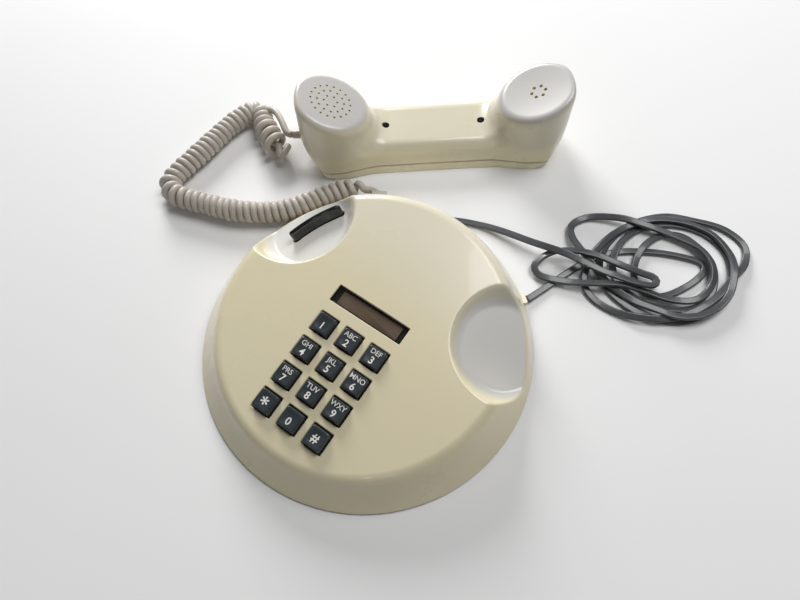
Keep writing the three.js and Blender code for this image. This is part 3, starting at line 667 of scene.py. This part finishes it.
def hole_cutter(name, x, y, width, height, corner):
    """A straight hole with a small chamfer at the face."""
    origin, across, ahead, normal = face_normal_frame(x, y)
    sections = []
    for grow, level in ((0, -14), (0, -HOLE_EDGE), (HOLE_EDGE, 0), (8 * HOLE_EDGE, 7 * HOLE_EDGE)):
        outline = rounded_rectangle(width + 2 * grow, height + 2 * grow, corner + grow, 3)
        sections.append(origin + outline[:, :1] * across + outline[:, 1:] * ahead + level * normal)
    points, faces = stacked(sections)
    return loose_mesh(name, to_row(face_to_base(points)), faces)


NOTCH = {"x": -15.4, "y": 104.5, "turn": math.radians(221.35), "width": 12.0, "height": 8.2}
KEY_PITCH = 19.05
KEYPAD_Y = -45.2
WINDOW = {"width": 53.4, "height": 11.9, "y": 4.55}
HOOK = {"inner": 84.0, "outer": 88.0, "from": 137.0, "to": 164.0}
LINE_GLAND = {"azimuth": 50.3, "width": 7.6, "height": 4.6}
HANDSET_GLAND = {"azimuth": 122, "width": 11, "height": 10}
KEY_HOLE = 14.3
HOLE_EDGE = 0.16
LEGENDS = [("1", ""), ("2", "ABC"), ("3", "DEF"), ("4", "GHI"), ("5", "JKL"), ("6", "MNO"),
           ("7", "PRS"), ("8", "TUV"), ("9", "WXY"), ("star", ""), ("0", ""), ("hash", "")]
KEYS = []
for index, (key_name, key_letters) in enumerate(LEGENDS):
    KEYS.append({"name": key_name, "letters": key_letters, "x": (index % 3 - 1) * KEY_PITCH,
                 "y": KEYPAD_Y + (1.5 - index // 3) * KEY_PITCH})


def bay_floor_to_base(side, points):
    """Points on a bay's floor, z along its normal, to base millimetres."""
    points = np.asarray(points, float)
    c, s = math.cos(BAY_TILT * side), math.sin(BAY_TILT * side)
    x, y, z = points[..., 0], points[..., 1], points[..., 2]
    on_face = np.stack([x * c + z * s + BAY_X * side, y + BAY_Y, z * c - x * s - BAY_DEPTH], axis=-1)
    return face_to_base(on_face)


def hook_arc(grow, z, count=28, ends=4):
    """Outline of the hook bar seen along its bay's normal, round at both ends."""
    centre = np.array([BAY_X, -BAY_Y])
    half = (HOOK["outer"] - HOOK["inner"]) / 2 + grow
    middle = (HOOK["outer"] + HOOK["inner"]) / 2
    inset = math.degrees(2.0 / middle)
    angles = np.radians(np.linspace(HOOK["from"] + inset, HOOK["to"] - inset, count))
    rows = [centre + (middle + half) * np.array([math.cos(a), math.sin(a)]) for a in angles]
    end = centre + middle * np.array([math.cos(angles[-1]), math.sin(angles[-1])])
    for turn in np.linspace(0, math.pi, ends + 2)[1:-1]:
        rows.append(end + half * np.array([math.cos(angles[-1] + turn), math.sin(angles[-1] + turn)]))
    rows += [centre + (middle - half) * np.array([math.cos(a), math.sin(a)]) for a in angles[::-1]]
    end = centre + middle * np.array([math.cos(angles[0]), math.sin(angles[0])])
    for turn in np.linspace(math.pi, 2 * math.pi, ends + 2)[1:-1]:
        rows.append(end + half * np.array([math.cos(angles[0] + turn), math.sin(angles[0] + turn)]))
    return np.array([(x, y, z) for x, y in rows])


def wall_cutter(name, outline, reaches, turn, x=0.0, y=0.0):
    """An outline across and up, pushed between two reaches along a direction turned about the upright."""
    points, faces = stacked([np.column_stack([np.full(len(outline), reach), outline]) for reach in reaches])
    c, s = math.cos(turn), math.sin(turn)
    turned = np.stack([points[:, 0] * c - points[:, 1] * s + x,
                       points[:, 0] * s + points[:, 1] * c + y, points[:, 2]], axis=-1)
    return loose_mesh(name, to_row(turned), faces)


def gland_cutter(gland):
    """Opening low in the wall around a cord's gland."""
    outline = rounded_rectangle(gland["width"] + 0.6, gland["height"] * 2 + 0.6, 1.2, 3)
    outline[:, 1] += SHELL_FLOOR - 0.3
    return wall_cutter("gland_cutter", outline, (92.0, 122.0), math.radians(gland["azimuth"]))


def notch_cutter():
    """The slanted notch in the rear wall where the plug is parked."""
    outline = rounded_rectangle(NOTCH["width"], NOTCH["height"] * 2, 1.5, 3)
    return wall_cutter("notch_cutter", outline, (-18.0, 16.0), NOTCH["turn"], NOTCH["x"], NOTCH["y"])


def housing():
    azimuths = 540
    outer, in_bay = housing_skin(0, azimuths)
    inner, inner_in_bay = housing_skin(WALL, azimuths)
    rows = len(outer)
    top = lean_back(np.array([[0, 0, FACE_HEIGHT + DOME]]))
    under = lean_back(np.array([[0, 0, ROUND_CENTRE[1] + RIM_ROUND - WALL]]))
    points = np.vstack([outer.reshape(-1, 3), inner[::-1].reshape(-1, 3), top, under])
    # Painted sheen: the rear of the top is mixed towards the pale grey, as the overhead light's sheen.
    painted_rear_sheen = 0.32 * np.clip((outer[..., 1] - 15) / 45, 0, 1)
    unyellowed_and_sheen = np.concatenate([np.maximum(in_bay, painted_rear_sheen).ravel(), inner_in_bay[::-1].ravel(), [0, 0]])
    faces = rings_to_faces(2 * rows, azimuths, capped=False)
    last = (2 * rows - 1) * azimuths
    for i in range(azimuths):
        j = (i + 1) % azimuths
        faces.append((2 * rows * azimuths, j, i))
        faces.append((2 * rows * azimuths + 1, last + i, last + j))
    outward = [face[::-1] for face in faces]
    shell = add_mesh("housing_shell", to_row(points), outward, "ivory_housing", None, attribute=unyellowed_and_sheen)
    cutters = [hole_cutter("key_hole", key["x"], key["y"], KEY_HOLE, KEY_HOLE, 0.7) for key in KEYS]
    cutters.append(hole_cutter("window_hole", 0, WINDOW["y"], WINDOW["width"], WINDOW["height"], 0.5))
    slot_points, slot_faces = stacked([bay_floor_to_base(-1, hook_arc(0.6, z)) for z in (-12, 14)])
    cutters.append(loose_mesh("hook_slot", to_row(slot_points), slot_faces))
    cutters += [gland_cutter(LINE_GLAND), gland_cutter(HANDSET_GLAND), notch_cutter()]
    boolean_cut(shell, cutters)
    sharpen(shell, 40)
    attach(shell, "base")
    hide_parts("upper_shell")


# ---------------------------------------------------------------- keys

KEY_TOP = 5.4
FLANGE_TOP = -3.5


def key_top_height(u, v):
    """Dished top of a key cap, over the face plane."""
    return KEY_TOP - 0.05 - 0.55 * np.clip(1 - (np.hypot(u, v) / 5.6) ** 2, 0, 1)


def on_key(key, points):
    """Points about a key's middle on the face plane, to the row frame."""
    return to_row(face_to_base(points + np.array([key["x"], key["y"], 0])))


def key_cap(key):
    """A key's dished cap, and the skirt around its foot that fills the hole."""
    body = f"key_{key['name']}"
    sections = []
    for size, corner, level in ((11.6, 1.0, -4.6), (12.65, 1.1, -3.4), (12.5, 1.1, 1.5), (12.1, 1.25, 3.9),
                                (11.8, 1.35, KEY_TOP - 0.55), (11.45, 1.4, KEY_TOP - 0.18),
                                (10.95, 1.4, KEY_TOP)):
        outline = rounded_rectangle(size, size, corner, 4)
        sections.append(np.column_stack([outline, np.full(len(outline), level)]))
    for size in (10.3, 9.6, 8.9, 8.1, 7.3, 6.4, 5.5, 4.6, 3.6, 2.6, 1.4):
        outline = rounded_rectangle(size, size, min(1.4, size * 0.32), 4)
        sections.append(np.column_stack([outline, key_top_height(outline[:, 0], outline[:, 1])]))
    points, faces = stacked(sections)
    cap = add_mesh(f"key_cap_{key['name']}", on_key(key, points), faces, "key_slate", body)
    sharpen(cap, 60)
    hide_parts(body)
    flange = []
    for size, corner, level in ((15.0, 0.6, FLANGE_TOP - 1.3), (15.4, 0.8, FLANGE_TOP - 1.1),
                                (15.4, 0.8, FLANGE_TOP - 0.2), (15.0, 0.6, FLANGE_TOP)):
        outline = rounded_rectangle(size, size, corner, 3)
        flange.append(np.column_stack([outline, np.full(len(outline), level)]))
    points, faces = stacked(flange)
    skirt = add_mesh(f"key_skirt_{key['name']}", on_key(key, points), faces, "key_slate", body)
    sharpen(skirt, 30)


def text_mesh(text, size):
    """Points and faces of a raised text, centred."""
    data = bpy.data.curves.new("lettering", "FONT")
    data.body = text
    data.size = size
    data.align_x = "CENTER"
    data.align_y = "CENTER"
    data.extrude = 0.05
    data.offset = 0.015 * size
    data.resolution_u = 4
    obj = bpy.data.objects.new("lettering", data)
    bpy.context.collection.objects.link(obj)
    graph = bpy.context.evaluated_depsgraph_get()
    mesh = bpy.data.meshes.new_from_object(obj.evaluated_get(graph), depsgraph=graph)
    points = np.array([vertex.co[:] for vertex in mesh.vertices])
    faces = [tuple(face.vertices) for face in mesh.polygons]
    bpy.data.objects.remove(obj)
    return points, faces


def key_legend(key):
    """The white digit or sign on a key, with its letters above it."""
    symbol = {"star": "*", "hash": "#"}.get(key["name"], key["name"])
    size = {"star": 11.5, "hash": 7.6}.get(key["name"], 6.4)
    digit_y = {"star": -2.2, "hash": -0.4}.get(key["name"], -2.55 if key["letters"] else -1.6)
    points, faces = text_mesh(symbol, size)
    points[:, 1] += digit_y
    if key["letters"]:
        more, more_faces = text_mesh(key["letters"], 4.5)
        more[:, 1] += 2.85
        faces += [tuple(i + len(points) for i in face) for face in more_faces]
        points = np.vstack([points, more])
    points[:, 2] = key_top_height(points[:, 0], points[:, 1]) + 0.14 + points[:, 2]
    name, placed = key["name"], on_key(key, points)
    legend = add_mesh(f"legend_{name}", placed, faces, "legend_white", f"key_{name}", smooth=False)


# ---------------------------------------------------------------- hook bar


def hook_bar():
    """The curved glossy bar that stands in the left bay, round along its top."""
    sections = []
    for grow, level in ((-0.6, -6.4), (-0.1, -6.0), (-0.1, 6.4), (-0.25, 7.6), (-0.75, 8.45), (-1.35, 8.9),
                        (-1.8, 9.0)):
        sections.append(bay_floor_to_base(-1, hook_arc(grow, level)))
    points, faces = stacked(sections)
    bar = add_mesh("hook_bar_gloss", to_row(points), faces, "black_gloss", "hook_bar")
    sharpen(bar, 50)
    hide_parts("hook_bar")


# ---------------------------------------------------------------- handset

CUP_OFFSET = 75.4
CUP_HEIGHT = 48.0
CUP_TILT = math.radians(21)
HANDSET_HALF = 104.5
HANDLE_TOP = 20.6
PARTING = 6.0
SCREW_AT = 36.5
HANDLE_ROUND = 7.0
END_ROUND = 26.0
VOXEL = 0.8
GRID_LOW = (-110.0, -33.0, -3.0)
GRID_HIGH = (110.01, 33.01, 62.01)


def cup_frame(x, y, z, side):
    """Coordinates on a cup's face: along the handset, across it and out of the face."""
    c, s = math.cos(CUP_TILT), math.sin(CUP_TILT)
    dx, dz = x * side - CUP_OFFSET, z - CUP_HEIGHT
    return dx * c + dz * s, y, -dx * s + dz * c


def from_cup(side, points):
    """Points drawn on a cup's face, z out of it, to handset millimetres."""
    points = np.asarray(points, float)
    c, s = math.cos(CUP_TILT), math.sin(CUP_TILT)
    x, y, z = points[..., 0] * side, points[..., 1], points[..., 2]
    return np.stack([(x * c - z * s + CUP_OFFSET) * side, y, x * s + z * c + CUP_HEIGHT], axis=-1)


def handset_field(x, y, z):
    """Distance-like field of the closed outside of the handset, negative inside."""
    # The handle: a bar with rounded upper edges, wider at its foot.
    span = np.abs(x)
    width = 27.6 + 0.3 * (span / 40) ** 2 - 0.36 * np.clip(z - 4, -5, 20)
    qy = (np.abs(y) - width) * 0.96 + HANDLE_ROUND
    qz = z - HANDLE_TOP + HANDLE_ROUND
    outside = np.hypot(np.maximum(qy, 0), np.maximum(qz, 0))
    handle = outside + np.minimum(np.maximum(qy, qz), 0) - HANDLE_ROUND
    handle = smooth_max(handle, span - 84, 4)
    # The cups: tapering drums cut by their tilted faces, one crowned and the other dished.
    body = handle
    for side in (-1, 1):
        u, v, w = cup_frame(x, y, z, side)
        ring = np.hypot(x * side - 75.5, y) - (29.0 - 0.028 * np.clip(z, 0, 60))
        rho = np.hypot(u, v)
        if side == -1:
            top = w - 0.5 * np.clip(1 - (rho / 26) ** 2, 0, 1) + 0.2
        else:
            top = w + 1.2 * np.clip(1 - (rho / 25) ** 2, 0, 1) + 0.1
        cup = smooth_max(ring, top, 5.6)
        body = smooth_min(body, cup, 15.0)
    # The ends: rounded where they come down to the table.
    foot = np.maximum(span - (HANDSET_HALF - END_ROUND), 0)
    corner = np.hypot(foot, np.maximum(END_ROUND - z, 0)) - END_ROUND
    corner = np.where(foot > 0, corner, -z)
    return smooth_max(body, corner, 0.5 + 8.5 * np.clip((span - 76) / 14, 0, 1))


def handset_grid():
    axes = [np.arange(low, high, VOXEL) for low, high in zip(GRID_LOW, GRID_HIGH)]
    return np.meshgrid(*axes, indexing="ij")


def field_to_mesh(field):
    """Points in handset millimetres and quads, wound outwards, where a field of the grid is zero."""
    grid = openvdb.FloatGrid(background=5.0)
    grid.copyFromArray(np.ascontiguousarray(np.clip(field, -5, 5), dtype=np.float32), tolerance=0)
    points, quads = grid.convertToQuads(0.0)
    points = np.asarray(points, float) * VOXEL + np.array(GRID_LOW)
    return points, np.asarray(quads)[:, ::-1].tolist()


def drill(name, frame_points):
    points, faces = stacked(frame_points)
    return loose_mesh(name, to_row(from_handset(points)), faces)


def sound_drills():
    """Rings of holes over the mouthpiece and the earpiece."""
    drills = []
    for side, hole, rings in ((-1, 0.9, ((5, 6), (10, 12), (14.8, 18))), (1, 1.35, ((5, 6),))):
        for radius, count in rings:
            for middle in circle(radius, count):
                ring = circle(hole, 12) + middle
                drills.append(drill("sound_hole", [
                    from_cup(side, np.column_stack([ring, np.full(12, level)])) for level in (-8.0, 6.0)]))
    return drills


def paleness(points):
    """How little each point of the handset has yellowed: least yellow on the cups' faces."""
    shares = [0.35 * np.clip((points[:, 2] - 16) / 5, 0, 1)]
    for side, depth in ((-1, 3.0), (1, 4.2)):
        u, v, w = cup_frame(points[:, 0], points[:, 1], points[:, 2], side)
        shares.append(np.clip((w + depth) / 2.8, 0, 1) * (np.hypot(u, v) < 34))
    return np.max(shares, axis=0)


def handset():
    """The front and back shells, hollow, with a groove between them, holes, screw bores and cord bore."""
    x, y, z = handset_grid()
    body = handset_field(x, y, z)
    hollow = body + WALL
    bosses = np.minimum(np.hypot(x - SCREW_AT, y), np.hypot(x + SCREW_AT, y)) - 4.6
    hollow = np.maximum(hollow, -bosses)
    shell = np.maximum(body, -hollow)
    groove = 0.9 * np.clip(1 + body / 1.0, 0, 1)
    front = np.maximum(shell, PARTING + 0.05 + groove * 0.6 - z)
    back = np.maximum(shell, z - PARTING + 0.25 + groove * 0.5)
    for name, field in (("handset_front", front), ("handset_back", back)):
        points, faces = field_to_mesh(field)
        placed = to_row(from_handset(points))
        shell_piece = add_mesh(name, placed, faces, "ivory_handset", None, attribute=paleness(points))
        if name == "handset_front":
            cutters = sound_drills()
            for side in (-1, 1):
                for radius, low, high in ((2.9, 12.0, 40.0), (1.5, 2.0, 13.0)):
                    ring = circle(radius, 24) + np.array([SCREW_AT * side, 0])
                    cutters.append(drill("screw_bore", [np.column_stack([ring, np.full(24, level)])
                                                        for level in (low, high)]))
            bore = circle(3.9, 24) + np.array([0, CORD_BORE_HEIGHT])
            cutters.append(drill("cord_bore", [np.column_stack([np.full(24, reach), bore])
                                               for reach in (-118.0, -92.0)]))
            boolean_cut(shell_piece, cutters)
            sharpen(shell_piece, 40)
        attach(shell_piece, "handset")
        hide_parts(f"{name}_shell")


# ---------------------------------------------------------------- small visible parts


def screw_plug(side, name):
    """A dark cap low in a screw bore of the handle."""
    sections = [np.column_stack([circle(r, 28), np.full(28, z)]) for r, z in
                ((2.5, 17.4), (2.8, 17.6), (2.8, 20.0), (2.6, 20.25), (1.2, 20.25), (0.9, 19.7))]
    points, faces = stacked([ring + np.array([SCREW_AT * side, 0, 0]) for ring in sections])
    cap = add_mesh(name, to_row(from_handset(points)), faces, "black_gloss", "handset")
    sharpen(cap, 50)


def window_liner():
    """The dark frame of the card tray, seen around the card through the window."""
    sections = []
    for width, height, level in ((53.1, 11.6, -2.7), (53.1, 11.6, 1.7), (52.3, 10.8, 1.75),
                                 (52.2, 10.7, 1.6), (52.2, 10.7, -2.7)):
        outline = rounded_rectangle(width, height, 0.5, 3)
        sections.append(np.column_stack([outline, np.full(len(outline), level)]))
    size = len(sections[0])
    faces = rings_to_faces(5, size, capped=False)
    faces += [(4 * size + i, 4 * size + (i + 1) % size, (i + 1) % size, i) for i in range(size)]
    points = np.vstack(sections) + np.array([0, WINDOW["y"], 0])
    liner = add_mesh("window_liner", to_row(face_to_base(points)), faces, "black_gloss", "base")
    sharpen(liner, 40)


def foot(name):
    """A rubber foot in place of the CAD's, with its edges softened."""
    low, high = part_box(name)
    x, y = (low.x + high.x) / 2, (low.y + high.y) / 2
    top = high.z / MM
    sections = [np.column_stack([circle(r, 32), np.full(32, z)]) for r, z in
                ((6.3, 0.0), (6.9, 0.12), (7.3, 0.45), (7.6, top - 0.5), (7.95, top - 0.15), (7.7, top))]
    points, faces = stacked(sections)
    pad = add_mesh(f"{name}_pad", points * MM + np.array([x, y, 0]), faces, "black_rubber", "base")
    sharpen(pad, 50)
    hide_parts(name)


def name_card():
    """The brown card behind the window, a little smaller than the liner around it."""
    outline = rounded_rectangle(45, 9.6, 0.8, 4)
    sections = [np.column_stack([outline * scale, np.full(len(outline), level)])
                for scale, level in ((0.985, -0.8), (1.0, -0.7), (1.0, -0.45), (0.985, -0.38))]
    points, faces = stacked(sections)
    placed = to_row(face_to_base(points + np.array([0, WINDOW["y"], 0])))
    card = add_mesh("name_card_sheet", placed, faces, "card", "base")
    sharpen(card, 50)
    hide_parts("name_card")


# The CAD nodes that keep their own shape, by finish.
NODE_FINISHES = {
    "dark_plate": ["base_plate"],
    "steel": ["base_screw_1", "base_screw_2", "base_screw_3", "hook_pivot_pin", "hook_spring",
              "hook_bracket", "gong_post", "gong_screw", "bell_clapper", "clapper_pin",
              "transmitter_capsule", "receiver_capsule"],
    "black_gloss": ["keypad_frame", "card_tray", "hook_lever", "handset_screw_mouth",
                    "handset_screw_ear"],
    "circuit_board": ["keypad_board", "hook_switch", "network_board", "terminal_block"],
    "clear_lens": ["window_lens"],
    "brass": ["ringer_gong", "capacitor"],
    "copper_winding": ["ringer_coil", "induction_coil"],
    "ivory_housing": ["line_cord_gland"],
    "beige_cord": ["handset_cord_gland", "handset_end_gland"],
    "clear_plug": ["line_plug"],
}


def finish_nodes():
    """Gives each CAD node that stays in view, or inside, its node material."""
    for finish, names in NODE_FINISHES.items():
        for name in names:
            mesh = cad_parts[name].data
            if not mesh.materials:
                mesh.materials.append(MATERIALS[finish])
            for slot in range(len(mesh.materials)):
                mesh.materials[slot] = MATERIALS[finish]


make_camera()
make_studio()
handset_cord()
line_cord()
housing()
for key_row in KEYS:
    key_cap(key_row)
    key_legend(key_row)
hook_bar()
handset()
name_card()
window_liner()
screw_plug(-1, "screw_cap_mouth")
screw_plug(1, "screw_cap_ear")
for foot_name in ("foot_rear_right", "foot_rear_left", "foot_front_left", "foot_front_right"):
    foot(foot_name)
finish_nodes()
